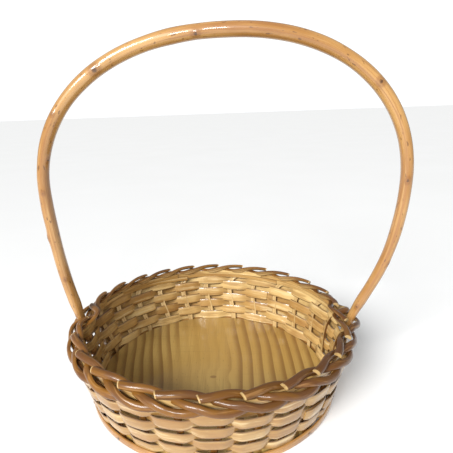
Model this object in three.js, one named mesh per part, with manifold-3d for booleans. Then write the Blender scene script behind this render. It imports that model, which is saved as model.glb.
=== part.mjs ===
// Egg collection basket: a round basket of split willow on a pine board, with one fixed hoop handle.
//
// Millimetres, +Z up. The origin is the middle of the board's underside. The handle stands in the
// XZ plane and the front is -Y. Angles are measured from +X, anticlockwise seen from above.
//
// How it goes together: the stakes stand against the edge of the board, a bent hoop goes round
// outside them, and nails through every second stake hold hoop, stake and board together. Seven
// rows of flat weavers and one inside band close the wall. Above the wall each stake is laid down
// clockwise: outside the next stake, inside the one after, and over the top of the third, which is
// the border. The handle's two legs are cut flat and pushed down into the weaving beside a stake.
import * as THREE from "three";
import { mergeVertices } from "three/addons/utils/BufferGeometryUtils.js";
import Module from "manifold-3d";

const wasm = await Module();
wasm.setup();

// ---------------------------------------------------------------- driving sizes

const CLEARANCE = 0.3; // left between any two pieces that press together on the real basket

const BOARD_RADIUS = 126.5;
const BOARD_THICKNESS = 8;

const STAKE_COUNT = 26; // even, so that a closed row of weaving meets itself on the right side
const STAKE_WIDTH = 6.6;
const STAKE_THICKNESS = 3.2;
const STAKE_FOOT = 0.6; // height of a stake's lower end above the underside

const HOOP_HEIGHT = 8;
const HOOP_THICKNESS = 2.4;

const NAIL_DIAMETER = 1.5;
const NAIL_HEAD_DIAMETER = 2.6;
const NAIL_HEAD_THICKNESS = 0.6;
const NAIL_IN_BOARD = 7; // length of nail inside the board

const WALL_FLARE = 12; // how much further out the wall stands at its top than at the board
const WEAVER_ROWS = 7;
const WEAVER_WIDTH = 8;
const WEAVER_THICKNESS = 1.4;
const INSIDE_BAND_WIDTH = 5.5; // the narrower split above the rows, inside every stake

const HANDLE_TOP = 327.5; // height of the middle of the rod at the top of the hoop
const HANDLE_APEX_X = 19.5; // the hoop leans a little towards +X
const HANDLE_WIDEST_Z = 197;
const HANDLE_REACH_LEFT = 151;
const HANDLE_REACH_RIGHT = 178.5;
const HANDLE_SQUARENESS = 2.2; // 2 would be a plain elliptic arch
const ROD_BUTT_DIAMETER = 12.4; // left leg, the thick end of the rod
const ROD_MIDDLE_DIAMETER = 10.8;
const ROD_TIP_DIAMETER = 10.4; // right leg
const LEG_THICKNESS_TOP = 8.4; // across the flat cut, at the top of the weaving
const LEG_THICKNESS_FOOT = 4;
const LEG_CUT_ABOVE = 24; // the flat cut starts this far above the weaving
const LEFT_LEG_STANDOFF = -2; // how far outside the stakes the leg's middle is, at the top
const RIGHT_LEG_STANDOFF = 4;

// ---------------------------------------------------------------- sizes that follow

const STAKE_STEP = (2 * Math.PI) / STAKE_COUNT;
const STAKE_RADIUS = BOARD_RADIUS + CLEARANCE + STAKE_THICKNESS / 2;
const HOOP_INNER_RADIUS = STAKE_RADIUS + STAKE_THICKNESS / 2 + CLEARANCE;
const HOOP_OUTER_RADIUS = HOOP_INNER_RADIUS + HOOP_THICKNESS;
const ROW_PITCH = WEAVER_WIDTH + CLEARANCE;
const WEAVING_FOOT = Math.max(BOARD_THICKNESS, HOOP_HEIGHT) + CLEARANCE;
const WEAVING_TOP = WEAVING_FOOT + WEAVER_ROWS * ROW_PITCH;
const RIM_RADIUS = STAKE_RADIUS + WALL_FLARE;
const LEG_FOOT = WEAVING_FOOT + 3 * CLEARANCE;
const FACETS = 2 * STAKE_COUNT; // the board's and hoop's edges are flat where a stake bears

// Each leg stands just before a stake, on the side that the stake does not lean to.
const LEG_TO_STAKE = ROD_BUTT_DIAMETER / 2 + 2 * CLEARANCE + STAKE_WIDTH / 2;
const FIRST_STAKE_ANGLE = -LEG_TO_STAKE / STAKE_RADIUS;

// ---------------------------------------------------------------- materials

function finish(color, roughness, metalness = 0) {
  return new THREE.MeshStandardMaterial({ color, roughness, metalness, flatShading: true });
}

const PINE = finish(0xc79a4e, 0.55);
const SPLIT_ROD = finish(0xb0763a, 0.4);
const WEAVER_SPLIT = finish(0xd9b87c, 0.5);
const HOOP_ROD = finish(0xa9713a, 0.4);
const HANDLE_ROD = finish(0xc98f4e, 0.3);
const STEEL = finish(0x8a8680, 0.4, 1);

// ---------------------------------------------------------------- helpers

// A point given by its angle round the basket, its distance from the axis and its height.
function around(angle, radius, z) {
  return new THREE.Vector3(radius * Math.cos(angle), radius * Math.sin(angle), z);
}

const mix = THREE.MathUtils.lerp;
const smooth = THREE.MathUtils.smoothstep;

// Radius of the middle of a stake at a height: upright beside the board, then flaring.
function wallRadius(z) {
  const share = THREE.MathUtils.clamp((z - WEAVING_FOOT) / (WEAVING_TOP - WEAVING_FOOT), 0, 1);
  return STAKE_RADIUS + WALL_FLARE * share;
}

// A closed solid through rings of corners. A band that meets itself has no ends; any other
// solid is capped at its first and last ring, which are convex.
function loft(rings, meetsItself = false) {
  const sides = rings[0].length;
  const corners = rings.flat();
  const triangles = [];
  const bands = meetsItself ? rings.length : rings.length - 1;
  for (let ring = 0; ring < bands; ring++) {
    const here = ring * sides;
    const next = ((ring + 1) % rings.length) * sides;
    for (let side = 0; side < sides; side++) {
      const across = (side + 1) % sides;
      triangles.push(here + side, here + across, next + across);
      triangles.push(here + side, next + across, next + side);
    }
  }
  if (!meetsItself) {
    const last = (rings.length - 1) * sides;
    for (let side = 1; side < sides - 1; side++) {
      triangles.push(0, side + 1, side);
      triangles.push(last, last + side, last + side + 1);
    }
  }
  if (enclosedVolume(corners, triangles) < 0) {
    triangles.reverse();
  }
  const geometry = new THREE.BufferGeometry().setFromPoints(corners);
  geometry.setIndex(triangles);
  return geometry;
}

function enclosedVolume(corners, triangles) {
  let volume = 0;
  for (let i = 0; i < triangles.length; i += 3) {
    const [a, b, c] = [corners[triangles[i]], corners[triangles[i + 1]], corners[triangles[i + 2]]];
    volume += a.dot(b.clone().cross(c)) / 6;
  }
  return volume;
}

function toSolid(geometry) {
  const plain = geometry.clone();
  plain.deleteAttribute("normal");
  plain.deleteAttribute("uv");
  const merged = mergeVertices(plain, 1e-4);
  return new wasm.Manifold(
    new wasm.Mesh({
      numProp: 3,
      vertProperties: merged.attributes.position.array,
      triVerts: new Uint32Array(merged.index.array),
    }),
  );
}

function toGeometry(solid) {
  const mesh = solid.getMesh();
  const geometry = new THREE.BufferGeometry();
  geometry.setAttribute("position", new THREE.BufferAttribute(mesh.vertProperties, 3));
  geometry.setIndex(new THREE.BufferAttribute(mesh.triVerts, 1));
  return geometry;
}

const basket = new THREE.Group();

function addPiece(name, geometry, material) {
  const piece = new THREE.Mesh(geometry, material);
  piece.name = name;
  basket.add(piece);
}

const numbered = (name, index) => name + "_" + String(index + 1).padStart(2, "0");

// Stakes are counted in the direction that they lean, which is clockwise seen from above.
const stakeAngle = (index) => FIRST_STAKE_ANGLE - index * STAKE_STEP;

// ---------------------------------------------------------------- nails and their holes

const isNailed = (index) => index % 2 === 1;

// A bar that points along +Y, from the axis outwards, turned to the stake's angle.
function radialBar(profile, sides, index) {
  const bar = new THREE.LatheGeometry(profile, sides);
  bar.rotateZ(stakeAngle(index) - Math.PI / 2);
  bar.translate(0, 0, HOOP_HEIGHT / 2);
  return bar;
}

const NAIL_SIDES = 6;

function nailGeometry(index) {
  const tip = BOARD_RADIUS - NAIL_IN_BOARD;
  const headUnderside = HOOP_OUTER_RADIUS + CLEARANCE / 2;
  const shank = NAIL_DIAMETER / 2;
  const head = NAIL_HEAD_DIAMETER / 2;
  const profile = [
    new THREE.Vector2(0, tip),
    new THREE.Vector2(shank, tip + 2 * NAIL_DIAMETER),
    new THREE.Vector2(shank, headUnderside),
    new THREE.Vector2(head, headUnderside),
    new THREE.Vector2(head, headUnderside + NAIL_HEAD_THICKNESS),
    new THREE.Vector2(0, headUnderside + NAIL_HEAD_THICKNESS),
  ];
  return radialBar(profile, NAIL_SIDES, index);
}

function nailHole(index) {
  const radius = (NAIL_DIAMETER / 2 + CLEARANCE) / Math.cos(Math.PI / NAIL_SIDES);
  const blindEnd = BOARD_RADIUS - NAIL_IN_BOARD - CLEARANCE;
  const profile = [
    new THREE.Vector2(0, blindEnd),
    new THREE.Vector2(radius, blindEnd),
    new THREE.Vector2(radius, HOOP_OUTER_RADIUS + 1),
    new THREE.Vector2(0, HOOP_OUTER_RADIUS + 1),
  ];
  return toSolid(radialBar(profile, NAIL_SIDES, index));
}

const nailed = [...Array(STAKE_COUNT).keys()].filter(isNailed);

function withNailHoles(geometry, indexes) {
  let solid = toSolid(geometry);
  for (const index of indexes) {
    solid = solid.subtract(nailHole(index));
  }
  return toGeometry(solid);
}

// ---------------------------------------------------------------- base board and its hoop

// A many-sided ring or disc whose flats, not its corners, lie at the radius given, with the
// middle of a flat at every stake.
function facetedRing(innerRadius, outerRadius, height) {
  const toCorner = 1 / Math.cos(Math.PI / FACETS);
  const profile = [
    new THREE.Vector2(innerRadius * toCorner, 0),
    new THREE.Vector2(outerRadius * toCorner, 0),
    new THREE.Vector2(outerRadius * toCorner, height),
    new THREE.Vector2(innerRadius * toCorner, height),
  ];
  if (innerRadius > 0) {
    profile.push(profile[0].clone());
  }
  const ring = new THREE.LatheGeometry(profile, FACETS);
  ring.rotateX(Math.PI / 2);
  ring.rotateZ(FIRST_STAKE_ANGLE + Math.PI / FACETS - Math.PI / 2);
  return ring;
}

addPiece("base_board", withNailHoles(facetedRing(0, BOARD_RADIUS, BOARD_THICKNESS), nailed), PINE);
addPiece(
  "base_hoop",
  withNailHoles(facetedRing(HOOP_INNER_RADIUS, HOOP_OUTER_RADIUS, HOOP_HEIGHT), nailed),
  HOOP_ROD,
);

for (const [count, index] of nailed.entries()) {
  addPiece(numbered("hoop_nail", count), nailGeometry(index), STEEL);
}

// ---------------------------------------------------------------- handle

// The rod's middle line, from the foot of the left leg, over the top, to the foot of the right leg.
function legMiddle(z, standoff) {
  const share = (z - WEAVING_FOOT) / (WEAVING_TOP - WEAVING_FOOT);
  return wallRadius(z) + standoff * Math.max(share, 0);
}

function handleSide(side, reach, standoff) {
  const foot = new THREE.Vector3(side * legMiddle(LEG_FOOT, standoff), 0, LEG_FOOT);
  const root = new THREE.Vector3(side * legMiddle(WEAVING_TOP, standoff), 0, WEAVING_TOP);
  const widest = new THREE.Vector3(side * reach, 0, HANDLE_WIDEST_Z);
  const lean = root.clone().sub(foot).normalize();
  const rise = HANDLE_WIDEST_Z - WEAVING_TOP;
  const lower = new THREE.CubicBezierCurve3(
    root,
    root.clone().addScaledVector(lean, rise * 0.3),
    widest.clone().setZ(HANDLE_WIDEST_Z - rise * 0.55),
    widest,
  );
  return { foot, root, widest, lower };
}

const LEFT = handleSide(-1, HANDLE_REACH_LEFT, LEFT_LEG_STANDOFF);
const RIGHT = handleSide(1, HANDLE_REACH_RIGHT, RIGHT_LEG_STANDOFF);

// Quarter of the arch, from the widest point of a side up to the top.
function archPoint(side, share) {
  const turn = (share * Math.PI) / 2;
  const power = 2 / HANDLE_SQUARENESS;
  const x = mix(HANDLE_APEX_X, side.widest.x, Math.cos(turn) ** power);
  const z = HANDLE_WIDEST_Z + (HANDLE_TOP - HANDLE_WIDEST_Z) * Math.sin(turn) ** power;
  return new THREE.Vector3(x, 0, z);
}

const LEG_STEPS = 4;
const LOWER_STEPS = 8;
const ARCH_STEPS = 9;
const ROD_SIDES = 10;

function sidePoints(side) {
  const points = [];
  for (let i = 0; i < LEG_STEPS; i++) {
    points.push(side.foot.clone().lerp(side.root, i / LEG_STEPS));
  }
  for (let i = 0; i < LOWER_STEPS; i++) {
    points.push(side.lower.getPoint(i / LOWER_STEPS));
  }
  for (let i = 0; i < ARCH_STEPS; i++) {
    points.push(archPoint(side, i / ARCH_STEPS));
  }
  return points;
}

// Half sizes of a leg inside the weaving, across its flat cut and along the wall.
function legHalfThickness(z) {
  const share = THREE.MathUtils.clamp((z - LEG_FOOT) / (WEAVING_TOP - LEG_FOOT), 0, 1);
  return mix(LEG_THICKNESS_FOOT, LEG_THICKNESS_TOP, share) / 2;
}

function handleGeometry() {
  const middle = [
    ...sidePoints(LEFT),
    new THREE.Vector3(HANDLE_APEX_X, 0, HANDLE_TOP),
    ...sidePoints(RIGHT).reverse(),
  ];
  const rings = middle.map((point, i) => {
    const before = middle[Math.max(i - 1, 0)];
    const after = middle[Math.min(i + 1, middle.length - 1)];
    const along = after.clone().sub(before).normalize();
    const outward = new THREE.Vector3(along.z, 0, -along.x).negate();
    const share = i / (middle.length - 1);
    const ends = share < 0.5 ? ROD_BUTT_DIAMETER : ROD_TIP_DIAMETER;
    const radius = mix(ROD_MIDDLE_DIAMETER, ends, Math.abs(2 * share - 1)) / 2;
    const cut = 1 - smooth(point.z, WEAVING_TOP + LEG_CUT_ABOVE / 2, WEAVING_TOP + LEG_CUT_ABOVE);
    const across = mix(radius, Math.min(radius, legHalfThickness(point.z)), cut);
    return [...Array(ROD_SIDES).keys()].map((corner) => {
      const turn = ((corner + 0.5) * 2 * Math.PI) / ROD_SIDES;
      return point
        .clone()
        .addScaledVector(outward, across * Math.cos(turn))
        .add(new THREE.Vector3(0, radius * Math.sin(turn), 0));
    });
  });
  return loft(rings);
}

addPiece("handle", handleGeometry(), HANDLE_ROD);

// ---------------------------------------------------------------- weaving

// Places that a weaver passes, in clockwise order. Each gives the two angles between which the
// weaver lies flat, and its distance from the axis when it passes outside (+1) or inside (-1).
function stakeStand(side, z) {
  return wallRadius(z) + side * (STAKE_THICKNESS / 2 + CLEARANCE + WEAVER_THICKNESS / 2);
}

function legStand(side, z, standoff) {
  const away = legHalfThickness(z) + 1.5 * CLEARANCE + WEAVER_THICKNESS / 2;
  const leg = legMiddle(z, standoff) + side * away;
  return side > 0 ? Math.max(leg, stakeStand(side, z)) : Math.min(leg, stakeStand(side, z));
}

const LEG_STAKES = [
  { index: 0, angle: 0, standoff: RIGHT_LEG_STANDOFF },
  { index: STAKE_COUNT / 2, angle: -Math.PI, standoff: LEFT_LEG_STANDOFF },
];

function stations() {
  const stakeHalf = (STAKE_WIDTH / 2 + CLEARANCE) / STAKE_RADIUS;
  const legHalf = (ROD_BUTT_DIAMETER / 2 + CLEARANCE) / STAKE_RADIUS;
  const found = [];
  for (let index = 0; index < STAKE_COUNT; index++) {
    const leg = LEG_STAKES.find((entry) => entry.index === index);
    if (leg) {
      const stand = (side, z) => legStand(side, z, leg.standoff);
      found.push({ index, angle: leg.angle + legHalf, stand });
      found.push({ index, angle: leg.angle - legHalf, stand });
    } else {
      found.push({ index, angle: stakeAngle(index) + stakeHalf, stand: stakeStand });
    }
    found.push({ index, angle: stakeAngle(index) - stakeHalf, stand: stakeStand });
  }
  return found;
}

const STATIONS = stations();

// One closed row; sideOf(stake index) says whether it passes outside or inside that stake.
function weaverGeometry(low, high, sideOf) {
  const half = WEAVER_THICKNESS / 2;
  const rings = STATIONS.map(({ index, angle, stand }) => {
    const lowRadius = stand(sideOf(index), low);
    const highRadius = stand(sideOf(index), high);
    return [
      around(angle, lowRadius - half, low),
      around(angle, lowRadius + half, low),
      around(angle, highRadius + half, high),
      around(angle, highRadius - half, high),
    ];
  });
  return loft(rings, true);
}

for (let row = 0; row < WEAVER_ROWS; row++) {
  const low = WEAVING_FOOT + row * ROW_PITCH;
  const sideOf = (index) => ((index + row) % 2 === 0 ? 1 : -1);
  addPiece("weaver_row_" + (row + 1), weaverGeometry(low, low + WEAVER_WIDTH, sideOf), WEAVER_SPLIT);
}
const BAND_TOP = WEAVING_TOP + INSIDE_BAND_WIDTH;
addPiece("inside_band", weaverGeometry(WEAVING_TOP, BAND_TOP, () => -1), WEAVER_SPLIT);

// ---------------------------------------------------------------- stakes and border

// The way of a stake's upper end through the border. step: distance round the rim in stake
// spacings; out: outwards from the middle of the wall, in stake thicknesses; up: above the
// weaving, in stake widths; roll: how far its bark side has turned from outwards to upwards.
const BORDER_WAY = [
  { step: 0, out: 0, up: 0, roll: 0 },
  { step: 0.15, out: 0.12, up: 0.45, roll: 0 },
  { step: 0.5, out: 1.4, up: 0.62, roll: 35 },
  { step: 1, out: 1.95, up: 0.65, roll: 5 },
  { step: 1.3, out: 1.4, up: 1.4, roll: 20 },
  { step: 1.6, out: 0.2, up: 1.63, roll: 73 },
  { step: 2, out: -1.79, up: 1.35, roll: 35 },
  { step: 2.5, out: -1.93, up: 2.24, roll: 44 },
  { step: 3, out: -0.45, up: 2.37, roll: 55 },
  { step: 3.3, out: -0.1, up: 2.27, roll: 55 },
];

// The stake's section, flat on the inside and rounded on its bark side.
const STAKE_SECTION = [
  [-0.5, -0.5],
  [0.5, -0.5],
  [0.46, 0.1],
  [0, 0.5],
  [-0.46, 0.1],
];

const BORDER_STEPS = 17;

// A smooth value of the border's way at a distance, through the points of the list.
function borderValue(key, step) {
  const way = BORDER_WAY;
  const next = Math.max(1, way.findIndex((point) => point.step >= step - 1e-9));
  const [a, b] = [way[next - 1], way[next]];
  const share = (step - a.step) / (b.step - a.step);
  const slope = (i) => {
    const [from, to] = [way[Math.max(i - 1, 0)], way[Math.min(i + 1, way.length - 1)]];
    return ((to[key] - from[key]) / (to.step - from.step)) * (b.step - a.step);
  };
  const [m0, m1] = [slope(next - 1), slope(next)];
  const [t, t2, t3] = [share, share ** 2, share ** 3];
  return (
    (2 * t3 - 3 * t2 + 1) * a[key] +
    (t3 - 2 * t2 + t) * m0 +
    (3 * t2 - 2 * t3) * b[key] +
    (t3 - t2) * m1
  );
}

// Near a leg, what lies outside it is pushed further out and what lies inside it further in, and
// an end that crosses over is lifted a little.
const LEG_ROOM_REACH = 0.9; // stake spacings each side of the leg
const LEG_LIFT = 1.8;
const PUSH_FULL_AT = 0.4; // steps along a stake's way, as in the list above
const LIFT_FROM = 1;
const LIFT_FULL_AT = 1.4;
const CROSSING_START = 1.3;
const CROSSING_END = 1.55;
const STEP_OUTSIDE_LEG = 1 + FIRST_STAKE_ANGLE / STAKE_STEP;
const STEP_INSIDE_LEG = STEP_OUTSIDE_LEG + 1;
const LEG_ROOM = (LEG_THICKNESS_TOP + STAKE_THICKNESS + STAKE_WIDTH) / 2 + 4 * CLEARANCE;

function legNearness(leg, position) {
  const legPosition = leg.index - 1 + STEP_OUTSIDE_LEG;
  const lap = Math.round((position - legPosition) / STAKE_COUNT) * STAKE_COUNT;
  const distance = Math.abs(position - legPosition - lap) / LEG_ROOM_REACH;
  return distance < 1 ? Math.cos((distance * Math.PI) / 2) ** 2 : 0;
}

function legPush(leg, step) {
  const natural = (at) => borderValue("out", at) * STAKE_THICKNESS;
  const outPush = leg.standoff + LEG_ROOM - natural(STEP_OUTSIDE_LEG);
  const inPush = leg.standoff - LEG_ROOM - STAKE_THICKNESS - natural(STEP_INSIDE_LEG);
  const crossed = smooth(step, CROSSING_START, CROSSING_END);
  return mix(outPush, inPush, crossed) * smooth(step, 0, PUSH_FULL_AT);
}

function borderPoint(index, step) {
  let radius = RIM_RADIUS + borderValue("out", step) * STAKE_THICKNESS;
  let z = WEAVING_TOP + borderValue("up", step) * STAKE_WIDTH;
  for (const leg of LEG_STAKES) {
    const nearness = legNearness(leg, index + step);
    radius += nearness * legPush(leg, step);
    z += nearness * LEG_LIFT * smooth(step, LIFT_FROM, LIFT_FULL_AT);
  }
  return around(stakeAngle(index + step), radius, z);
}

function stakeGeometry(index) {
  const upright = around(stakeAngle(index), WALL_FLARE, WEAVING_TOP - WEAVING_FOOT).normalize();
  const points = [
    { place: around(stakeAngle(index), STAKE_RADIUS, STAKE_FOOT), along: new THREE.Vector3(0, 0, 1) },
    { place: around(stakeAngle(index), STAKE_RADIUS, WEAVING_FOOT) },
    { place: around(stakeAngle(index), RIM_RADIUS, WEAVING_TOP), along: upright },
  ];
  const lastStep = BORDER_WAY[BORDER_WAY.length - 1].step;
  for (let i = 1; i <= BORDER_STEPS; i++) {
    const step = (lastStep * i) / BORDER_STEPS;
    const roll = THREE.MathUtils.degToRad(borderValue("roll", step));
    points.push({ place: borderPoint(index, step), step, roll });
  }
  const rings = points.map((point, i) => {
    const { place, step = 0, roll = 0 } = point;
    const before = points[Math.max(i - 1, 0)].place;
    const after = points[Math.min(i + 1, points.length - 1)].place;
    const along = point.along ?? after.clone().sub(before).normalize();
    const bark = around(stakeAngle(index + step), Math.cos(roll), Math.sin(roll));
    bark.addScaledVector(along, -bark.dot(along)).normalize();
    const across = along.clone().cross(bark);
    return STAKE_SECTION.map(([wide, thick]) =>
      place
        .clone()
        .addScaledVector(across, wide * STAKE_WIDTH)
        .addScaledVector(bark, thick * STAKE_THICKNESS),
    );
  });
  return loft(rings);
}

for (let index = 0; index < STAKE_COUNT; index++) {
  const geometry = stakeGeometry(index);
  const drilled = isNailed(index) ? withNailHoles(geometry, [index]) : geometry;
  addPiece(numbered("stake", index), drilled, SPLIT_ROD);
}

export default basket;
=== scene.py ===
# %% [markdown]
# # An egg collection basket in split willow
# The basket is a round pine board with willow stakes standing against its edge, a bent hoop nailed
# round the outside of them, seven rows of flat weaving, a plaited border and one tall hoop handle.
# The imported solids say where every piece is. This lesson loads them as a fixed frame, and then
# gives each piece the round skin, the laps, the cut ends and the varnish of the real one.

# %% Load the frame
import math

import bmesh
import bpy
import numpy as np
from mathutils import Matrix, Vector


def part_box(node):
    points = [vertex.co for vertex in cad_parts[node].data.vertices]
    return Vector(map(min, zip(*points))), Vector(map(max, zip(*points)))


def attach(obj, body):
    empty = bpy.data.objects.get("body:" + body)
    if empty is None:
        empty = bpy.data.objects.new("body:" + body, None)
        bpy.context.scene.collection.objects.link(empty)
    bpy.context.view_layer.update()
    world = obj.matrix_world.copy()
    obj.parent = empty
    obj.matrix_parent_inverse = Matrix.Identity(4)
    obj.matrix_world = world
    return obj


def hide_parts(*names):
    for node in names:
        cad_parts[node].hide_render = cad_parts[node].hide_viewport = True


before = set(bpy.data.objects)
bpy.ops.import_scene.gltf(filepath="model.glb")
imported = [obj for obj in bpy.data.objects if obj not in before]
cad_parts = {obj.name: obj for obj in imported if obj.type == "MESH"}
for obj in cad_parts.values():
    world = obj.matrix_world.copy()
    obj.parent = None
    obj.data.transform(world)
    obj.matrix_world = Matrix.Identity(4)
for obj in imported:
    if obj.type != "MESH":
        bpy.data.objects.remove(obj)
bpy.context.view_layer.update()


random = np.random.default_rng(26)

# %% [markdown]
# ## Camera, floor and light
# The basket is seen from a little above, from the front, with the eye about as near as a person
# who picks it up, so the front of the rim looks much larger than the back. A camera object has its
# place in one matrix: three columns say which way are right, up and back. A small roll and shift
# only frame the picture. The floor is one pale plane, and the light is soft. A pale sky and a
# broad sun from the front left light the floor evenly, and the wall nearest to the sun keeps the
# front of the board in shade. One small window lamp puts crisp highlights on the varnish.

# %% Camera, floor and light
EYE_TURN = math.radians(3.25)
EYE_HEIGHT = math.radians(26.94)
EYE_ROLL = math.radians(-2.11)
EYE_DISTANCE = 0.4168
EYE_LENS = 31.4
EYE_SHIFT = (0.035, 0.1845)
LOOKS_AT = Vector((0, 0, 0.084))


def add_camera():
    back = Vector(
        (
            math.sin(EYE_TURN) * math.cos(EYE_HEIGHT),
            -math.cos(EYE_TURN) * math.cos(EYE_HEIGHT),
            math.sin(EYE_HEIGHT),
        )
    )
    level = back.cross(Vector((0, 0, -1))).normalized()
    roll = Matrix.Rotation(EYE_ROLL, 3, back)
    right = roll @ level
    up = roll @ back.cross(level)
    place = Matrix((right, up, back)).transposed().to_4x4()
    place.translation = LOOKS_AT + back * EYE_DISTANCE
    bpy.ops.object.camera_add()
    camera = bpy.context.object
    camera.name = "camera"
    camera.matrix_world = place
    camera.data.lens = EYE_LENS
    camera.data.shift_x, camera.data.shift_y = EYE_SHIFT
    bpy.context.scene.camera = camera


def add_soft_lamp(name, place, aim, size, watts, colour):
    bpy.ops.object.light_add(type="AREA", location=place)
    lamp = bpy.context.object
    lamp.name = name
    lamp.rotation_euler = (Vector(aim) - Vector(place)).to_track_quat("-Z", "Y").to_euler()
    lamp.data.size = size
    lamp.data.energy = watts
    lamp.data.color = colour


def add_broad_sun(direction, strength, breadth):
    bpy.ops.object.light_add(type="SUN")
    sun = bpy.context.object
    sun.name = "broad_sun"
    sun.rotation_euler = Vector(direction).to_track_quat("-Z", "Y").to_euler()
    sun.data.angle = breadth
    sun.data.energy = strength


def add_sky(on_the_basket, seen_behind):
    """A pale sky that looks brighter behind the basket than the light it gives."""
    sky = bpy.data.worlds.new("pale_sky")
    sky.use_nodes = True
    nodes, links = sky.node_tree.nodes, sky.node_tree.links
    background = nodes["Background"]
    background.inputs["Color"].default_value = (0.97, 0.985, 1.0, 1.0)
    strength = nodes.new("ShaderNodeMapRange")
    strength.inputs["To Min"].default_value = on_the_basket
    strength.inputs["To Max"].default_value = seen_behind
    links.new(nodes.new("ShaderNodeLightPath").outputs["Is Camera Ray"], strength.inputs["Value"])
    links.new(strength.outputs["Result"], background.inputs["Strength"])
    bpy.context.scene.world = sky


add_camera()
add_sky(0.36, 1.15)
add_broad_sun((0.62, 0.94, -0.70), 4.0, math.radians(24))
add_soft_lamp("window_lamp", (-0.1, -1.1, 0.75), (0, 0.12, 0.05), 0.25, 6, (0.95, 0.98, 1.0))
bpy.context.scene.view_settings.view_transform = "Standard"
print("camera at", [round(value, 3) for value in bpy.context.scene.camera.location])

# %% [markdown]
# ## Writing a finish as an expression
# A material is a small sum: so much dark fibre, so much varnish. Drawing it as boxes and wires
# soon gets hard to follow, so a socket is wrapped in a class that knows plus, minus and times, and
# an expression in Python adds its own Math nodes. One method, `node`, makes any other node.


# %% A socket that does arithmetic
class Value:
    """A socket of a node tree. Arithmetic on it adds Math nodes to the tree."""

    def __init__(self, finish, socket):
        self.finish = finish
        self.socket = socket

    def _math(self, operation, *values):
        sockets = dict(enumerate(values))
        return self.finish.node("ShaderNodeMath", {"operation": operation}, sockets)

    def __add__(self, other):
        return self._math("ADD", self, other)

    __radd__ = __add__

    def __mul__(self, other):
        return self._math("MULTIPLY", self, other)

    __rmul__ = __mul__

    def __sub__(self, other):
        return self._math("SUBTRACT", self, other)

    def __rsub__(self, other):
        return self._math("SUBTRACT", other, self)

    def above(self, low, high):
        """0 below low, 1 above high, and a smooth change between; low may be the larger."""
        settings = {"interpolation_type": "SMOOTHSTEP"}
        return self.finish.node("ShaderNodeMapRange", settings, {0: self, 1: low, 2: high})


class Finish:
    """A procedural material with one Principled shader."""

    def __init__(self, name, **uniform):
        self.material = bpy.data.materials.new(name)
        self.material.use_nodes = True
        self.tree = self.material.node_tree
        self.shader = self.tree.nodes["Principled BSDF"]
        for socket, value in uniform.items():
            self.shader.inputs[socket.replace("_", " ")].default_value = value

    def node(self, kind, settings=None, sockets=None, output=0):
        made = self.tree.nodes.new(kind)
        for key, value in (settings or {}).items():
            setattr(made, key, value)
        for key, value in (sockets or {}).items():
            if isinstance(value, Value):
                self.tree.links.new(value.socket, made.inputs[key])
            else:
                made.inputs[key].default_value = value
        return Value(self, made.outputs[output])

    def attribute(self, name):
        return self.node("ShaderNodeAttribute", {"attribute_name": name}, output="Fac")

    def along_the_grain(self, along, across, shift=0.0):
        """Places on a rod or split: metres along it, share of the way round it, and a shift."""
        uv = self.node("ShaderNodeUVMap", {"uv_map": "along_and_round"})
        parts = self.node("ShaderNodeSeparateXYZ", sockets={0: uv})
        round_it = Value(self, parts.socket.node.outputs[1])
        sockets = {0: parts * along, 1: round_it * across, 2: shift}
        return self.node("ShaderNodeCombineXYZ", sockets=sockets)

    def place(self, scale):
        """Object coordinates, scaled along each axis, so that a unit is one step of the noise."""
        place = self.node("ShaderNodeTexCoord", output="Object")
        return self.node("ShaderNodeMapping", sockets={"Vector": place, "Scale": scale})

    def noise(self, vector, detail=3.0, roughness=0.55):
        sockets = {"Vector": vector, "Scale": 1.0, "Detail": detail, "Roughness": roughness}
        return self.node("ShaderNodeTexNoise", sockets=sockets)

    def blend(self, factor, first, second):
        """A colour between two colours."""
        sockets = {0: factor, 6: first, 7: second}
        return self.node("ShaderNodeMix", {"data_type": "RGBA"}, sockets, output=2)

    def bump(self, height, strength, distance):
        sockets = {"Height": height, "Strength": strength, "Distance": distance}
        return self.node("ShaderNodeBump", sockets=sockets)

    def wear(self, **links):
        for socket, value in links.items():
            self.tree.links.new(value.socket, self.shader.inputs[socket.replace("_", " ")])


def colour(red, green, blue):
    return (red, green, blue, 1.0)


print("finishes are written as expressions")

# %% [markdown]
# ## Floor
# The floor is only there to catch the soft shadow, so it is one large pale plane.


# %% Floor
def add_floor():
    bpy.ops.object.select_all(action="DESELECT")
    bpy.ops.mesh.primitive_plane_add(size=60, location=(0, 0, -0.0002))
    floor = bpy.context.object
    floor.name = "floor"
    finish = Finish("pale_floor", Roughness=0.85)
    patch = finish.noise(finish.place((3, 3, 3)), detail=2.0)
    finish.wear(Base_Color=finish.blend(patch, colour(0.9, 0.9, 0.89), colour(0.94, 0.94, 0.935)))
    floor.data.materials.append(finish.material)


add_floor()
print("floor laid")

# %% [markdown]
# ## Reading a rod's way from its solid
# Each solid is a chain of rings of corners from one end of the rod to the other. Walking it from a
# first ring, over the edges that lead on, gives the rings back in order, and their middles are the
# rod's way. A curve could be drawn by eye instead, but the rods of the border pass each other with
# a third of a millimetre to spare, so the new skin has to follow the same way.


# %% Walk a solid ring by ring
def solid_rings(node, is_first, is_before=lambda corner: False):
    solid = bmesh.new()
    solid.from_mesh(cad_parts[node].data)
    bmesh.ops.remove_doubles(solid, verts=solid.verts, dist=1e-5)
    solid.verts.index_update()
    ring = [corner for corner in solid.verts if is_first(corner.co)]
    seen = set(ring) | {corner for corner in solid.verts if is_before(corner.co)}
    rings = []
    while ring:
        rings.append(np.array([corner.co for corner in ring]))
        beyond = {edge.other_vert(corner) for corner in ring for edge in corner.link_edges}
        ring = sorted(beyond - seen, key=lambda corner: corner.index)
        seen |= beyond
    solid.free()
    return rings


def unit(vectors):
    return vectors / np.linalg.norm(vectors, axis=-1, keepdims=True)


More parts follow.
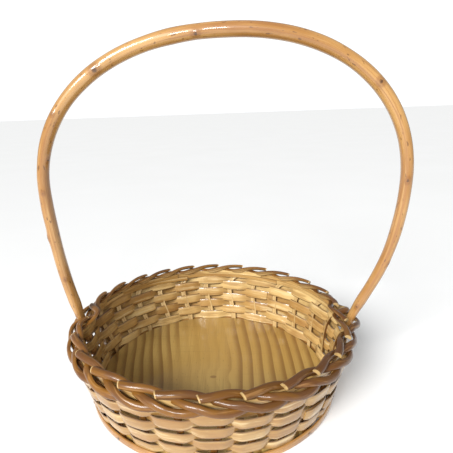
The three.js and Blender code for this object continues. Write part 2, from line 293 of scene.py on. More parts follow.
def lengths_along(points):
    steps = np.linalg.norm(np.diff(points, axis=0), axis=1)
    return np.concatenate([[0], np.cumsum(steps)])


def smooth_through(at, known_at, known):
    """Values on smooth cubic curves through known values (rows) at known places."""
    slopes = np.gradient(known, known_at, axis=0)
    after = np.clip(np.searchsorted(known_at, at, side="right"), 1, len(known_at) - 1)
    gap = (known_at[after] - known_at[after - 1])[:, None]
    share = ((at - known_at[after - 1]) / gap[:, 0])[:, None]
    square, cube = share**2, share**3
    return (
        (2 * cube - 3 * square + 1) * known[after - 1]
        + (cube - 2 * square + share) * gap * slopes[after - 1]
        + (3 * square - 2 * cube) * known[after]
        + (cube - square) * gap * slopes[after]
    )


handle_low, handle_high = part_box("handle")
print("handle box", [round(value, 3) for value in (*handle_low, *handle_high)])

# %% [markdown]
# ## Giving a rod its skin
# A skin is rings of points joined by faces. Every point also carries where it is along the rod and
# round it, as a UV map, so that the fibres of the wood follow each bend, and three numbers that
# the finishes read: its tone, how much bark it shows, and how near it is to a knot. On a flat split
# the bark number marks its two edges, for the bark left along them and for painted shade between
# the rows, and the knot number marks its outer side, which is painted darker as shade.


# %% Skin a stack of rings
TONE_SHIFT = 7.0  # metres of grain between a tone of 0 and a tone of 1
END_GRAIN = 0.002


def skin(name, parts):
    """One mesh from several stacks of rings. A part has rings (n, sides, 3) and a tone, and may
    have bark and knot, either n by sides or one row of sides that serves for every ring."""
    corners, faces, uvs, tones, barks, knots = [], [], [], [], [], []
    for part in parts:
        rings = part["rings"]
        count, sides = rings.shape[:2]
        start = len(corners)
        corners.extend(rings.reshape(-1, 3))
        tones.extend([part["tone"]] * count * sides)
        barks.extend(np.broadcast_to(part.get("bark", 0.0), (count, sides)).reshape(-1))
        knots.extend(np.broadcast_to(part.get("knot", 0.0), (count, sides)).reshape(-1))
        along = lengths_along(rings.mean(axis=1)) + part["tone"] * TONE_SHIFT
        for ring in range(count - 1):
            here, there = start + ring * sides, start + (ring + 1) * sides
            for side in range(sides):
                across = (side + 1) % sides
                faces.append((here + side, here + across, there + across, there + side))
                low, high = side / sides, (side + 1) / sides
                uvs += [(along[ring], low), (along[ring], high)]
                uvs += [(along[ring + 1], high), (along[ring + 1], low)]
        for ring in (0, count - 1):
            first = start + ring * sides
            faces.append(tuple(range(first, first + sides)))
            spread = [END_GRAIN * math.sin(7 * side) for side in range(sides)]
            uvs += [(along[ring] + spread[side], side / sides) for side in range(sides)]
    mesh = bpy.data.meshes.new(name)
    mesh.from_pydata([tuple(corner) for corner in corners], [], faces)
    layer = mesh.uv_layers.new(name="along_and_round")
    layer.uv.foreach_set("vector", np.array(uvs, np.float32).reshape(-1))
    for key, values in (("tone", tones), ("bark", barks), ("knot", knots)):
        mesh.attributes.new(key, "FLOAT", "POINT").data.foreach_set("value", values)
    piece = bpy.data.objects.new(name, mesh)
    bpy.context.scene.collection.objects.link(piece)
    return piece


def only(piece):
    bpy.ops.object.select_all(action="DESELECT")
    piece.select_set(True)
    bpy.context.view_layer.objects.active = piece


def turn_faces_out(piece):
    only(piece)
    bpy.ops.object.mode_set(mode="EDIT")
    bpy.ops.mesh.select_all(action="SELECT")
    bpy.ops.mesh.normals_make_consistent(inside=False)
    bpy.ops.object.mode_set(mode="OBJECT")


def hand_in(piece, finish, slot, *nodes, sharp=40):
    """Smooths the piece, gives it its finish, and puts it in the place of its solids."""
    turn_faces_out(piece)
    bpy.ops.object.shade_smooth_by_angle(angle=math.radians(sharp))
    piece.data.materials.append(finish.material)
    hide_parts(*nodes)
    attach(piece, "root")


print("skins are ready")

# %% [markdown]
# ## Willow with its bark on
# The stakes are split rods. One side keeps the brown skin of the rod, which varnish turns glossy
# and deep; the other is the pale split wood with a groove of pith along its middle. One finish
# does both: a number on each point, bark, says which of the two it is.


# %% Finish of the stakes and border
def stake_finish():
    finish = Finish("varnished_willow_rod", Coat_Roughness=0.14, IOR=1.33)
    tone = finish.attribute("tone")
    fibres = finish.noise(finish.along_the_grain(22, 8, tone * 31), detail=4.0, roughness=0.65)
    stains = finish.noise(finish.along_the_grain(42, 2.2, tone * 57), detail=2.0)
    bark = finish.attribute("bark").above(0.35, 0.75)
    skin_tone = finish.blend(tone, colour(0.085, 0.03, 0.004), colour(0.26, 0.108, 0.012))
    skin_tone = finish.blend(
        stains.above(0.45, 0.62) * 0.6, skin_tone, colour(0.10, 0.036, 0.011)
    )
    skin_tone = finish.blend(fibres.above(0.49, 0.6) * 0.4, skin_tone, colour(0.12, 0.045, 0.014))
    skin_tone = finish.blend(fibres.above(0.45, 0.34) * 0.4, skin_tone, colour(0.44, 0.23, 0.08))
    split = finish.blend(tone, colour(0.46, 0.30, 0.115), colour(0.62, 0.44, 0.21))
    split = finish.blend(fibres.above(0.5, 0.64) * 0.5, split, colour(0.24, 0.12, 0.035))
    finish.wear(
        Base_Color=finish.blend(bark, split, skin_tone),
        Roughness=0.5 - bark * 0.1 + fibres * 0.08,
        Coat_Weight=bark * 0.2 + 0.3,
        Normal=finish.bump(fibres * 0.6 + stains * 0.4, 0.35, 0.0006),
    )
    return finish


STAKE_FINISH = stake_finish()
print("willow rod finish:", len(STAKE_FINISH.tree.nodes), "nodes")

# %% [markdown]
# ## Stakes and border
# A stake stands against the board, goes up through the weaving, and is then laid down to the left
# of its neighbour: outside the next stake, inside the one after, and over the top of the third,
# where it is cut on a slant. Its section is flat with a shallow groove on the inside and round on
# the bark side. Blender's curve bevel would make the section, but it turns a steep rod its own
# way, so each ring is placed by the flat side of the solid's ring instead. The rods on the left
# are painted a little warmer, as painted light from the side the sun comes from, and both ends show
# pale wood.

# %% The section of a split rod
FLAT_SIDE = [(-0.44, -0.5), (-0.22, -0.5), (-0.09, -0.4), (0.0, -0.36)]
FLAT_SIDE += [(0.09, -0.4), (0.22, -0.5), (0.44, -0.5)]
BARK_TURNS = np.radians(np.linspace(-8, 188, 11))
BARK_SIDE = [(0.49 * math.cos(turn), 0.82 * math.sin(turn) - 0.34) for turn in BARK_TURNS]
STAKE_SECTION = np.array(FLAT_SIDE + BARK_SIDE)
STAKE_BARK = np.array([0.0] * len(FLAT_SIDE) + [1.0] * len(BARK_SIDE))
STAKE_COUNT = sum(name.startswith("stake_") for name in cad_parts)
WALL_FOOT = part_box("weaver_row_1")[0].z
WALL_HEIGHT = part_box("inside_band")[0].z
RING_GAP = 0.003
FOOT_RING_REACH = 0.0006  # how far from the foot of the wall a stake's second ring may be
LAID_OVER = 0.02  # length over which a stake changes from upright to laid
UPRIGHT_WIDTH = 0.98  # share of the solid's width, as is the thickness
UPRIGHT_THICKNESS = 0.97
LAID_WIDER = 0.14
LAID_THICKER = 0.12
GROWN_WIDTH = 0.022  # how uneven a rod has grown, as a share of its width and thickness
GROWN_THICKNESS = 0.012
STIFFNESS = 0.007  # length over which a rod evens out its bends
BEND_REACH = 2.5  # how many of those lengths a bend is still felt at
CUT_LENGTH = 0.006
CUT_SLANT = 0.3
KNIFE_EDGE = 0.0005  # from the last full ring to a smaller one, which is what a knife leaves
CUT_THINNER = 0.86
CUT_NARROWER = 0.9
# painted light: how much warmer the rods on the left, sunlit side are made, on top of their random
# tone
LEFT_SIDE_LIT_WARMER = 0.45


def five_cornered(ring):
    """Middle, bark direction, width and thickness of a ring that is a flat and a ridge."""
    middle = ring.mean(axis=0)
    order = np.argsort(np.linalg.norm(ring - middle, axis=1))
    ridge, first, second = ring[order[0]], ring[order[-1]], ring[order[-2]]
    flat = (first + second) / 2
    width = np.linalg.norm(first - second)
    return (ridge + flat) / 2, unit(ridge - flat), width, np.linalg.norm(ridge - flat)


def at_wall_foot(corner):
    return abs(corner.z - WALL_FOOT) < FOOT_RING_REACH


def below_wall_foot(corner):
    return corner.z <= WALL_FOOT - FOOT_RING_REACH


def stake_way(node):
    """Middles and bark directions along a stake, and its width and thickness."""
    rings = [five_cornered(ring) for ring in solid_rings(node, at_wall_foot, below_wall_foot)]
    middles = np.array([ring[0] for ring in rings])
    barks = np.array([ring[1] for ring in rings])
    foot = middles[0].copy()
    foot[2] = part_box(node)[0].z
    return np.vstack([foot, middles]), np.vstack([barks[0], barks]), rings[0][2], rings[0][3]


def gentle_waves(count, size):
    """A slow random wave that starts and ends anywhere, for the unevenness of grown wood."""
    marks = np.linspace(0, count - 1, max(3, count // 9))
    return np.interp(np.arange(count), marks, random.normal(0, size, len(marks)))


def stiffened(points):
    """The same way with its sharpest bends eased, because a rod springs back a little."""
    reach = int(BEND_REACH * STIFFNESS / RING_GAP)
    weights = np.exp(-0.5 * (np.arange(-reach, reach + 1) * RING_GAP / STIFFNESS) ** 2)
    weights /= weights.sum()
    before = 2 * points[0] - points[reach:0:-1]
    after = 2 * points[-1] - points[-2 : -reach - 2 : -1]
    longer = np.vstack([before, points, after])
    return np.stack([np.convolve(longer[:, i], weights, "valid") for i in range(3)], axis=1)


def stake_rings(node):
    way, barks, width, thickness = stake_way(node)
    known_at = lengths_along(way)
    at = np.linspace(0, known_at[-1], int(known_at[-1] / RING_GAP))
    at = np.append(at[:-1], [at[-1] - KNIFE_EDGE, at[-1]])
    middles = smooth_through(at, known_at, way)
    laid = np.clip((at - WALL_HEIGHT) / LAID_OVER, 0, 1)
    middles += laid[:, None] * (stiffened(middles) - middles)
    bark = smooth_through(at, known_at, barks)
    along = unit(np.gradient(middles, at, axis=0))
    bark = unit(bark - along * np.sum(bark * along, axis=1, keepdims=True))
    across = np.cross(along, bark)
    wide = width * (UPRIGHT_WIDTH + LAID_WIDER * laid) * (1 + gentle_waves(len(at), GROWN_WIDTH))
    uneven = gentle_waves(len(at), GROWN_THICKNESS)
    thick = thickness * (UPRIGHT_THICKNESS + LAID_THICKER * laid + uneven)
    thick[-1] *= CUT_THINNER
    wide[-1] *= CUT_NARROWER
    near_cut = np.clip((at - at[-1] + CUT_LENGTH) / CUT_LENGTH, 0, 1)
    slide = near_cut[:, None] * STAKE_SECTION[None, :, 0] * CUT_SLANT * width
    rings = (
        middles[:, None]
        + across[:, None] * (STAKE_SECTION[None, :, :1] * wide[:, None, None])
        + bark[:, None] * (STAKE_SECTION[None, :, 1:] * thick[:, None, None])
        + along[:, None] * slide[..., None]
    )
    return rings, middles


def add_stake(index):
    node = f"stake_{index + 1:02d}"
    rings, middles = stake_rings(node)
    bark = np.broadcast_to(STAKE_BARK, rings.shape[:2]).copy()
    bark[[0, -1]] = 0.0
    angle = math.atan2(middles[0, 1], middles[0, 0])
    to_the_left = 0.5 - 0.5 * math.cos(angle)
    # painted light: the tone leans warmer towards the left, where the sun falls
    tone = (1 - LEFT_SIDE_LIT_WARMER) * random.random() + LEFT_SIDE_LIT_WARMER * to_the_left
    piece = skin("willow_" + node, [{"rings": rings, "tone": tone, "bark": bark}])
    hand_in(piece, STAKE_FINISH, "stake_rod", node, sharp=50)
    return angle


STAKE_ANGLES = np.array([add_stake(index) for index in range(STAKE_COUNT)])
print(STAKE_COUNT, "stakes, the first at", round(math.degrees(STAKE_ANGLES[0]), 1), "degrees")

# %% [markdown]
# ## Pale willow splits
# The weavers are thin flat splits, planed from the inside of the rod, so they are pale straw under
# the varnish, with fine fibres and a few dark streaks. Each edge is darker, for a line of bark left
# along it and for painted shade between the rows, and the outer side of each split is painted darker
# as shade, so the outside of the wall looks darker than the inside.


# %% Finish of the weavers
def weaver_finish():
    finish = Finish("varnished_willow_split", Coat_Roughness=0.12, IOR=1.5)
    tone = finish.attribute("tone")
    fibres = finish.noise(finish.along_the_grain(16, 8, tone * 43), detail=5.0, roughness=0.7)
    edge = finish.attribute("bark")
    outside = finish.attribute("knot").above(0.4, 0.6)
    patches = finish.noise(finish.along_the_grain(14, 1.6, tone * 23), detail=2.0)
    straw = finish.blend(tone, colour(0.38, 0.205, 0.053), colour(0.68, 0.48, 0.20))
    # painted shade: the outer side of each split is darkened, so the outside of the wall looks darker
    # than the inside
    straw = finish.blend(outside * 0.55, straw, colour(0.27, 0.13, 0.033))
    straw = finish.blend(patches.above(0.46, 0.64) * 0.5, straw, colour(0.33, 0.165, 0.045))
    straw = finish.blend(fibres.above(0.49, 0.6) * 0.55, straw, colour(0.27, 0.13, 0.035))
    straw = finish.blend(fibres.above(0.46, 0.36) * 0.45, straw, colour(0.78, 0.62, 0.34))
    # painted shade: the split's edges are darkened, partly for bark left there and partly for the
    # shade between rows
    straw = finish.blend(edge.above(0.2, 0.8) * 0.85, straw, colour(0.11, 0.045, 0.011))
    finish.wear(
        Base_Color=straw,
        Roughness=0.34 + fibres * 0.16,
        Coat_Weight=0.75 - fibres * 0.4,
        Normal=finish.bump(fibres * 0.7 + patches * 0.3, 0.4, 0.0005),
    )
    return finish


WEAVER_FINISH = weaver_finish()
print("willow split finish:", len(WEAVER_FINISH.tree.nodes), "nodes")

# %% [markdown]
# ## Weaving
# Each row passes outside one stake and inside the next. A split is widest where it lies flat over
# a stake and is squeezed narrower where it slips through to the other side, which gives the wall
# its lens shapes. It also hangs a little lower outside than inside, as shingles do, which closes
# the wall to the light. A row is two splits: the end of each lies over the start of the next for the
# width of one stake, on the side that shows. The solid's corners give the place of the row at the
# stakes, and the split swings smoothly between them.

# %% The way of a row
SPLIT_SECTION = np.array(
    [
        (-0.5, 0.0),
        (-0.43, 0.4),
        (-0.22, 0.5),
        (0.22, 0.5),
        (0.43, 0.4),
        (0.5, 0.0),
        (0.43, -0.4),
        (0.22, -0.5),
        (-0.22, -0.5),
        (-0.43, -0.4),
    ]
)
# how much bark and painted shade between the rows each of these corners has, and which of them lie on
# the outer side, which gets painted shade
SPLIT_EDGE_BARK_AND_SHADE = np.array([1.0, 0.45, 0, 0, 0.45, 1.0, 0.45, 0, 0, 0.45])
SPLIT_OUTSIDE_SHADE = np.array([0.5, 1, 1, 1, 1, 0.5, 0, 0, 0, 0])
SPLIT_THICKNESS = 0.0012
STEPS_PER_STAKE = 14
FLAT_SHARE = 0.15  # share of a crossing that still lies flat, at each of its ends
STAKE_GAP = 2 * math.pi / STAKE_COUNT
BOARD_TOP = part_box("base_board")[1].z
OVER_BOARD = 0.0002
ROW_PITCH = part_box("weaver_row_2")[0].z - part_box("weaver_row_1")[0].z
SEAM_ANGLE = -3.1405  # corners below it are the ones at half a turn, and join those above


def row_corners(node):
    """Angles at which a row bends, with the radius and height of its two edges there."""
    rings = {}
    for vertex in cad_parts[node].data.vertices:
        angle = math.atan2(vertex.co.y, vertex.co.x)
        key = round(angle if angle > SEAM_ANGLE else angle + 2 * math.pi, 3)
        rings.setdefault(key, set()).add((round(vertex.co.xy.length, 5), round(vertex.co.z, 5)))
    rows = []
    for angle in sorted(rings):
        corners = sorted(rings[angle], key=lambda corner: corner[1])
        half = len(corners) // 2
        low, high = np.mean(corners[:half], axis=0), np.mean(corners[half:], axis=0)
        rows.append((angle, *low, *high))
    return np.array(rows)


def swing_between(angles, rows):
    """Edges of the row at any angles: flat over a stake, and an S from one side to the other."""
    turn = 2 * math.pi
    known = np.vstack([rows[-1] - [turn, 0, 0, 0, 0], rows, rows[0] + [turn, 0, 0, 0, 0]])
    at = (angles - known[0, 0]) % turn + known[0, 0]
    after = np.clip(np.searchsorted(known[:, 0], at, side="right"), 1, len(known) - 1)
    share = (at - known[after - 1, 0]) / (known[after, 0] - known[after - 1, 0])
    share = np.clip((share - FLAT_SHARE) / (1 - 2 * FLAT_SHARE), 0, 1)
    share = (share**2 * (3 - 2 * share))[:, None]
    return known[after - 1, 1:] * (1 - share) + known[after, 1:] * share


def over_a_stake(angles):
    """1 in the middle of a stake, 0 half way between two stakes."""
    return 0.5 + 0.5 * np.cos((angles - STAKE_ANGLES[0]) / STAKE_GAP * 2 * math.pi)


def split_rings(angles, edges, width, lift, drift):
    """Rings of a split whose edges run low to high; lift moves it outwards, drift upwards."""
    low, high = edges[:, :2], edges[:, 2:]
    upwards = unit(high - low)
    outwards = np.stack([upwards[:, 1], -upwards[:, 0]], axis=1)
    middle = (low + high) / 2 + outwards * lift[:, None] + upwards * drift[:, None]
    in_plane = (
        middle[:, None]
        + upwards[:, None] * (SPLIT_SECTION[None, :, :1] * width[:, None, None])
        + outwards[:, None] * (SPLIT_SECTION[None, :, 1:] * SPLIT_THICKNESS)
    )
    in_plane[..., 1] = np.maximum(in_plane[..., 1], BOARD_TOP + OVER_BOARD)
    turned = np.stack([np.cos(angles), np.sin(angles)], axis=1)
    flat = in_plane[..., :1] * turned[:, None]
    return np.concatenate([flat, in_plane[..., 1:]], axis=2)


FLOAT_WIDTH = 1.42 * ROW_PITCH
SQUEEZED_WIDTH = 1.36 * ROW_PITCH
LENS_SHAPE = 0.8  # below 1 a split keeps its width for longer
WIDER_OUTSIDE = 0.15
SHINGLE = 0.22  # how far a split hangs down, as a share of how far out it lies
SWING = 0.0026  # from the middle of the wall to a split's middle
UNEVEN_WIDTH = 0.045
UNEVEN_HEIGHT = 0.00032
STARTS_BEFORE = 0.45  # stake spacings, as are the next two
RUNS_PAST = 0.9
LAP = 1.25
LAP_LIFT = 1.15 * SPLIT_THICKNESS
END_NARROWS = 0.94


def per_stake(angles, size):
    """A random value for each stake that changes smoothly from one to the next."""
    values = random.normal(0, size, STAKE_COUNT)
    place = ((STAKE_ANGLES[0] - angles) / STAKE_GAP) % STAKE_COUNT
    before = np.floor(place).astype(int) % STAKE_COUNT
    share = place - np.floor(place)
    share = share**2 * (3 - 2 * share)
    return values[before] * (1 - share) + values[(before + 1) % STAKE_COUNT] * share


def row_split(rows, first_stake, stakes, side):
    """One split from just before a stake, clockwise past a number of stakes. Its end is lifted to
    the side given, 1 for outwards and -1 for inwards."""
    steps = int((stakes + RUNS_PAST) * STEPS_PER_STAKE)
    start = STAKE_ANGLES[0] - (first_stake - STARTS_BEFORE) * STAKE_GAP
    angles = start - np.linspace(0, (stakes + RUNS_PAST) * STAKE_GAP, steps)
    edges = swing_between(angles, rows)
    width = SQUEEZED_WIDTH + (FLOAT_WIDTH - SQUEEZED_WIDTH) * over_a_stake(angles) ** LENS_SHAPE
    outside = edges[:, [0, 2]].mean(axis=1) - rows[:, [1, 3]].mean()
    width *= 1 + per_stake(angles, UNEVEN_WIDTH) + WIDER_OUTSIDE * np.clip(outside / SWING, 0, 1)
    end_gap = np.arange(steps)[::-1] / STEPS_PER_STAKE
    lifted = np.clip(LAP - end_gap, 0, 1)
    lift = side * LAP_LIFT * lifted**2 * (3 - 2 * lifted)
    drift = per_stake(angles, UNEVEN_HEIGHT) - SHINGLE * outside
    width[[0, -1]] *= END_NARROWS
    return split_rings(angles, edges, width, lift, drift)


def add_row(number):
    node = f"weaver_row_{number}"
    rows = row_corners(node)
    half = STAKE_COUNT // 2
    first = int(random.integers(0, STAKE_COUNT))
    parts = []
    for start, end in ((first, first + half), (first + half, first)):
        side = 1 if (end + number - 1) % 2 == 0 else -1
        part = {"rings": row_split(rows, start, half, side), "tone": random.random()}
        part.update(bark=SPLIT_EDGE_BARK_AND_SHADE, knot=SPLIT_OUTSIDE_SHADE)
        parts.append(part)
    hand_in(skin("willow_" + node, parts), WEAVER_FINISH, "weaver_split", node)


ROW_COUNT = sum(name.startswith("weaver_row_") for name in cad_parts)
for number in range(1, ROW_COUNT + 1):
    add_row(number)
print(ROW_COUNT, "rows woven,", round(ROW_PITCH * 1000, 2), "mm apart")

# %% [markdown]
# ## Inside band
# Above the weaving two rings of short narrow splits lie inside the stakes and hide where they bend
# over. Each split starts flat against the stakes and ends on top of the next one with a plain cut,
# so its end stands out from the wall by its own thickness.


# %% Lap the inside band
# rise from the middle of the band, width, and stake spacings from the first stake to the first end
BAND_LAYERS = ((-0.0010, 0.0054, 0.0), (0.0036, 0.0060, 1.7))
BAND_SPLIT_LENGTHS = (2.2, 4.0)
BAND_LAP = 0.8
BAND_LIFT = -1.25 * SPLIT_THICKNESS
LIFT_STARTS, LIFT_TAKES = 0.35, 0.5  # shares of a split's length
BAND_WIDTHS = (0.85, 1.1)
BAND_UNEVEN_HEIGHT = 0.0002
BAND_UNEVEN_SLANT = 0.0011


def lap_band_layer(rows, rise, width, reach):
    """A ring of lapped splits at one height; reach is where the next split starts."""
    parts = []
    last = reach + STAKE_COUNT - 1
    while reach < last:
        stakes = min(random.uniform(*BAND_SPLIT_LENGTHS), last + 1 - reach)
        steps = int((stakes + BAND_LAP) * STEPS_PER_STAKE)
        angles = STAKE_ANGLES[0] - (reach + np.linspace(0, stakes + BAND_LAP, steps)) * STAKE_GAP
        share = np.linspace(0, 1, steps)
        lift = BAND_LIFT * np.clip((share - LIFT_STARTS) / LIFT_TAKES, 0, 1)
        drift = rise + random.normal(0, BAND_UNEVEN_HEIGHT)
        drift = drift + (share - 0.5) * random.normal(0, BAND_UNEVEN_SLANT)
        wide = width * random.uniform(*BAND_WIDTHS) * np.ones(steps)
        rings = split_rings(angles, swing_between(angles, rows), wide, lift, drift)
        parts.append({"rings": rings, "tone": random.random(), "bark": SPLIT_EDGE_BARK_AND_SHADE})
        reach += stakes
    return parts


def add_inside_band():
    rows = row_corners("inside_band")
    parts = [part for layer in BAND_LAYERS for part in lap_band_layer(rows, *layer)]
    hand_in(skin("willow_inside_band", parts), WEAVER_FINISH, "weaver_split", "inside_band")
    return len(parts)


print("inside band of", add_inside_band(), "splits")

# %% [markdown]
# ## Handle
# The handle is one peeled rod, bent while it was green, with its side branches cut off: each leaves
# a low swelling with a brown ring and a dark eye. The varnish is thick and glossy. The legs are cut
# flat to slip into the weaving. A curve with a bevel would be quicker, but the legs aren't round,
# so the solid gives the middle line and the two half sizes of the rod, and the skin adds its slow
# unevenness and its knots.


# %% Finish of the handle
def handle_finish():
    finish = Finish("varnished_peeled_rod", Coat_Roughness=0.06, IOR=1.5)
    fibres = finish.noise(finish.along_the_grain(9, 12), detail=5.0, roughness=0.65)
    clouds = finish.noise(finish.along_the_grain(16, 2.0, 3.0), detail=3.0)
    specks = finish.noise(finish.along_the_grain(150, 14, 9.0), detail=1.0)
    knot = finish.attribute("knot")
    honey = finish.blend(clouds.above(0.3, 0.7), colour(0.34, 0.155, 0.036), colour(0.50, 0.275, 0.09))
    honey = finish.blend(fibres.above(0.49, 0.6) * 0.6, honey, colour(0.27, 0.105, 0.026))
    honey = finish.blend(fibres.above(0.46, 0.34) * 0.35, honey, colour(0.62, 0.40, 0.18))
    honey = finish.blend(specks.above(0.66, 0.72) * 0.7, honey, colour(0.12, 0.045, 0.012))
    honey = finish.blend(knot.above(0.12, 0.5) * 0.6, honey, colour(0.24, 0.095, 0.025))
    honey = finish.blend(knot.above(0.72, 0.95) * 0.9, honey, colour(0.06, 0.025, 0.01))
    finish.wear(
        Base_Color=honey,
        Roughness=0.3 + fibres * 0.12,
        Coat_Weight=0.95 - clouds * 0.25,
        Normal=finish.bump(fibres * 0.5 + clouds * 0.3 + specks * 0.2, 0.3, 0.0006),
    )
    return finish


HANDLE_FINISH = handle_finish()
print("handle finish:", len(HANDLE_FINISH.tree.nodes), "nodes")

# %% Skin the handle
HANDLE_SIDES = 28
HANDLE_RING_GAP = 0.0022
KNOT_RISE = 0.22  # as a share of the knot's size
KNOT_LENGTHENED = 1.3  # how much longer a knot is than it is wide
GROWN_ROUND = 0.018  # how uneven the rod has grown, and how far it is from round
OUT_OF_ROUND = 0.008
FOOT_REACH = 0.004  # corners this near the lowest one are at a leg's foot
HANDLE_TURNS = np.arange(HANDLE_SIDES) * 2 * math.pi / HANDLE_SIDES
CORNER_TO_SIDE = math.cos(math.radians(18))  # the solid has ten sides, and none faces outwards
# share of the way from the left foot, side of the rod (0 outwards, 90 front), size in metres
KNOTS = [
    (0.085, 60, 0.0035),
    (0.135, 100, 0.003),
    (0.185, 30, 0.0045),
    (0.235, 95, 0.0028),
    (0.27, 150, 0.0032),
    (0.315, 70, 0.003),
    (0.375, 95, 0.0055),
    (0.475, 110, 0.004),
    (0.56, 250, 0.0035),
    (0.655, 80, 0.0042),
    (0.755, 100, 0.0036),
    (0.845, 60, 0.0032),
    (0.905, 120, 0.003),
]


def at_left_foot(corner):
    return corner.x < 0 and corner.z < handle_low.z + FOOT_REACH


def handle_rings():
    """Places along the rod, its middles, its outward directions and its two half sizes."""
    rings = solid_rings("handle", at_left_foot)
    way = np.array([ring.mean(axis=0) for ring in rings])
    along = unit(np.gradient(way, axis=0))
    outward = np.stack([-along[:, 2], 0 * along[:, 0], along[:, 0]], axis=1)
    sizes = [
        (
            np.abs((ring - middle) @ out).max() / CORNER_TO_SIDE,
            np.abs(ring[:, 1]).max(),
        )
        for ring, middle, out in zip(rings, way, outward)
    ]
    known_at = lengths_along(way)
    at = np.linspace(0, known_at[-1], int(known_at[-1] / HANDLE_RING_GAP))
    middles = smooth_through(at, known_at, way)
    half = smooth_through(at, known_at, np.array(sizes))
    along = unit(np.gradient(middles, axis=0))
    outward = np.stack([-along[:, 2], 0 * along[:, 0], along[:, 0]], axis=1)
    return at, middles, outward, half


def add_handle():
    at, middles, outward, half = handle_rings()
    count = len(at)
    swell = np.zeros((count, HANDLE_SIDES))
    knot = np.zeros((count, HANDLE_SIDES))
    for share, side, size in KNOTS:
        away = at[:, None] - share * at[-1]
        turn = (HANDLE_TURNS[None] - math.radians(side) + math.pi) % (2 * math.pi) - math.pi
        round_it = turn * half[:, 1:]
        near = np.exp(-(away**2 + (KNOT_LENGTHENED * round_it) ** 2) / size**2)
        swell += KNOT_RISE * size * near
        knot = np.maximum(knot, near)
    uneven = 1 + gentle_waves(count, GROWN_ROUND)[:, None]
    uneven = uneven + OUT_OF_ROUND * np.cos(3 * HANDLE_TURNS + 0.7)
    out = half[:, :1] * np.cos(HANDLE_TURNS) * uneven + swell * np.cos(HANDLE_TURNS)
    front = half[:, 1:] * np.sin(HANDLE_TURNS) * uneven + swell * np.sin(HANDLE_TURNS)
    rings = middles[:, None] + outward[:, None] * out[..., None]
    rings[..., 1] -= front
    piece = skin("bent_handle", [{"rings": rings, "tone": 0.5, "knot": knot}])
    hand_in(piece, HANDLE_FINISH, "handle_rod", "handle")


add_handle()
print("handle bent from one rod,", len(KNOTS), "knots")

# %% [markdown]
# ## Pine board
# The base is one round of sawn pine. Flat-sawn boards show their growth rings as long bands: a wide
# pale strip of summer wood and a thin darker line, close together on one side of the board and
# further apart and slanting on the other. A cylinder with its edges rounded is all the shape it
# needs, so the work is in the finish.


# %% Finish of the board
BOARD_KNOT_X, BOARD_KNOT_Y = 0.001, -0.014
RINGS_PER_METRE = 92


def pine_finish():
    finish = Finish("varnished_pine", Coat_Roughness=0.16, IOR=1.5)
    parts = finish.node("ShaderNodeSeparateXYZ", sockets={0: finish.place((1, 1, 1))})
    across, along = parts, Value(finish, parts.socket.node.outputs[1])
    wander = finish.noise(finish.place((7, 3, 7)), detail=2.0)
    to_the_right = across.above(-0.03, 0.04)
    aside, ahead = across - BOARD_KNOT_X, along - BOARD_KNOT_Y
    knot_away = aside * aside + ahead * ahead * 2
    knot = knot_away.above(0.00003, 0.0)
    pushed = knot_away.above(0.0009, 0.0) * 0.004
    growth_at = across + along * (0.13 - to_the_right * 0.08) + (wander - 0.5) * 0.03 + pushed
    spacing = RINGS_PER_METRE - to_the_right * 10
    season = finish.node("ShaderNodeMath", {"operation": "FRACT"}, {0: growth_at * spacing + 0.35})
    lines = season.above(0.25, 0.86) * season.above(1.0, 0.93)
    plain = across.above(-0.056, -0.036) * across.above(0.03, 0.012)
    lines = lines * (1.0 - plain * 0.82)
    fibres = finish.noise(finish.place((900, 16, 900)), detail=3.0, roughness=0.6)
    saw = finish.noise(finish.place((10, 420, 10)), detail=2.0)
    pores = finish.noise(finish.place((700, 190, 1)), detail=1.0)
    gold = finish.blend(wander.above(0.38, 0.62), colour(0.45, 0.27, 0.066), colour(0.57, 0.38, 0.115))
    gold = finish.blend(lines * 0.8, gold, colour(0.22, 0.105, 0.022))
    gold = finish.blend(fibres.above(0.5, 0.7) * 0.22, gold, colour(0.24, 0.13, 0.035))
    gold = finish.blend(saw.above(0.58, 0.7) * 0.14, gold, colour(0.2, 0.115, 0.035))
    gold = finish.blend(pores.above(0.7, 0.76) * 0.5, gold, colour(0.12, 0.06, 0.018))
    gold = finish.blend(knot.above(0.4, 0.9) * 0.6, gold, colour(0.2, 0.09, 0.024))
    finish.wear(
        Base_Color=gold,
        Roughness=0.42 + fibres * 0.12,
        Coat_Weight=0.5 - lines * 0.15,
        Normal=finish.bump(fibres * 0.4 + saw * 0.3 - lines * 0.3, 0.25, 0.0004),
    )
    return finish


PINE_FINISH = pine_finish()
print("pine finish:", len(PINE_FINISH.tree.nodes), "nodes")


# %% Turn the board
BOARD_SIDES = 208
BOARD_ROUNDING = 0.0008
SKIN_INSIDE = 0.0001  # how far a skin stays inside the flats of its solid


def add_board():
    low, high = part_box("base_board")
    radius = (high.x - low.x) / 2
    thickness = high.z - low.z
    bpy.ops.object.select_all(action="DESELECT")
    bpy.ops.mesh.primitive_cylinder_add(
        vertices=BOARD_SIDES,
        radius=radius - SKIN_INSIDE,
        depth=thickness,
        location=(0, 0, thickness / 2),
    )
    board = bpy.context.object
    board.name = "pine_board"
    bpy.ops.object.mode_set(mode="EDIT")
    bpy.ops.mesh.select_all(action="DESELECT")
    bpy.ops.object.mode_set(mode="OBJECT")
    for edge in board.data.edges:
        ends = [board.data.vertices[end].co.z for end in edge.vertices]
        edge.select = abs(ends[0] - ends[1]) < 1e-6
    bpy.ops.object.mode_set(mode="EDIT")
    bpy.ops.mesh.select_mode(type="EDGE")
    bpy.ops.mesh.bevel(offset=BOARD_ROUNDING, segments=3, affect="EDGES")
    bpy.ops.object.mode_set(mode="OBJECT")
    bpy.ops.object.transform_apply(location=True, rotation=True, scale=True)
    hand_in(board, PINE_FINISH, "pine_board", "base_board", sharp=35)
    return radius


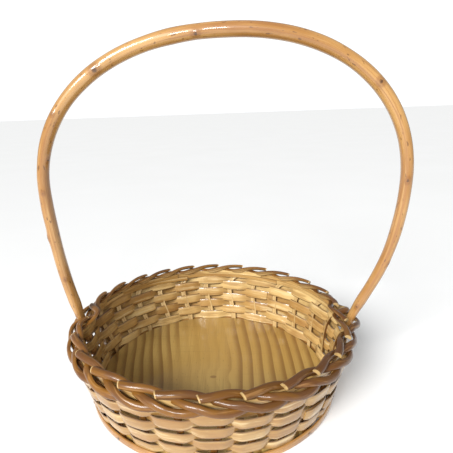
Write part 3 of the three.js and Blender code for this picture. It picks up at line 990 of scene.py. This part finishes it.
print("board of", round(add_board() * 2000, 1), "mm")

# %% [markdown]
# ## Bottom hoop
# A rod split down its middle is bent round the feet of the stakes with its round side out. By hand
# this is a spin: the section is drawn once, upright beside the axis, and turned all the way round.
# The last ring falls on the first, so doubles are merged before the normals are made to agree.


# %% Finish of the hoop
def hoop_finish():
    finish = Finish("varnished_hoop_rod", Coat_Roughness=0.09, IOR=1.5)
    fibres = finish.noise(finish.place((26, 26, 1500)), detail=4.0, roughness=0.6)
    clouds = finish.noise(finish.place((22, 22, 60)), detail=3.0)
    amber = finish.blend(clouds.above(0.3, 0.7), colour(0.28, 0.12, 0.026), colour(0.50, 0.25, 0.065))
    amber = finish.blend(fibres.above(0.5, 0.62) * 0.5, amber, colour(0.14, 0.055, 0.017))
    amber = finish.blend(fibres.above(0.46, 0.34) * 0.4, amber, colour(0.52, 0.31, 0.12))
    finish.wear(
        Base_Color=amber,
        Roughness=0.34 + fibres * 0.12,
        Coat_Weight=0.85 - clouds * 0.25,
        Normal=finish.bump(fibres * 0.6 + clouds * 0.4, 0.35, 0.0006),
    )
    return finish


HOOP_FINISH = hoop_finish()
print("hoop finish:", len(HOOP_FINISH.tree.nodes), "nodes")


# %% Spin the hoop
HOOP_THICKNESS = 0.0024
HOOP_SIDES = 18
# powers below 1 fill the section out: its round outside, its flat inside, its upper and lower edge
ROUND_OUTSIDE, FLAT_INSIDE, FULL_EDGES = 0.8, 0.3, 0.75


def add_hoop():
    low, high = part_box("base_hoop")
    outer = high.x - SKIN_INSIDE
    height = high.z - low.z
    bpy.ops.object.select_all(action="DESELECT")
    bpy.ops.mesh.primitive_circle_add(vertices=HOOP_SIDES, radius=1, rotation=(math.pi / 2, 0, 0))
    hoop = bpy.context.object
    hoop.name = "bent_base_hoop"
    bpy.ops.object.transform_apply(rotation=True)
    for vertex in hoop.data.vertices:
        side, rise = vertex.co.x, vertex.co.z
        bulge = side**ROUND_OUTSIDE if side > 0 else -(abs(side) ** FLAT_INSIDE)
        vertex.co.x = outer + (bulge - 1) * HOOP_THICKNESS / 2
        vertex.co.z = height / 2 + math.copysign(abs(rise) ** FULL_EDGES, rise) * height / 2
    bpy.ops.object.mode_set(mode="EDIT")
    bpy.ops.mesh.select_all(action="SELECT")
    bpy.ops.mesh.spin(steps=BOARD_SIDES, angle=2 * math.pi, center=(0, 0, 0), axis=(0, 0, 1))
    bpy.ops.mesh.select_all(action="SELECT")
    bpy.ops.mesh.remove_doubles(threshold=0.00001)
    bpy.ops.object.mode_set(mode="OBJECT")
    hand_in(hoop, HOOP_FINISH, "hoop_rod", "base_hoop")


add_hoop()
print("hoop spun round the stakes")

# %% [markdown]
# ## Nails
# The nails are small wire nails, and their solids already have the right shape, so they stay. All
# they get is dull steel that has begun to brown under the varnish.


# %% Finish the nails
def nail_finish():
    finish = Finish("dull_steel", Metallic=1.0)
    rust = finish.noise(finish.place((900, 900, 900)), detail=3.0)
    steel = finish.blend(rust.above(0.5, 0.7), colour(0.42, 0.40, 0.38), colour(0.2, 0.1, 0.05))
    finish.wear(Base_Color=steel, Roughness=0.35 + rust * 0.25)
    return finish


NAIL_FINISH = nail_finish()
nails = [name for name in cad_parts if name.startswith("hoop_nail")]
for name in nails:
    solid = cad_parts[name]
    solid.data.materials.clear()
    solid.data.materials.append(NAIL_FINISH.material)
print(len(nails), "nails")

# %% Update the view layer
bpy.context.view_layer.update()
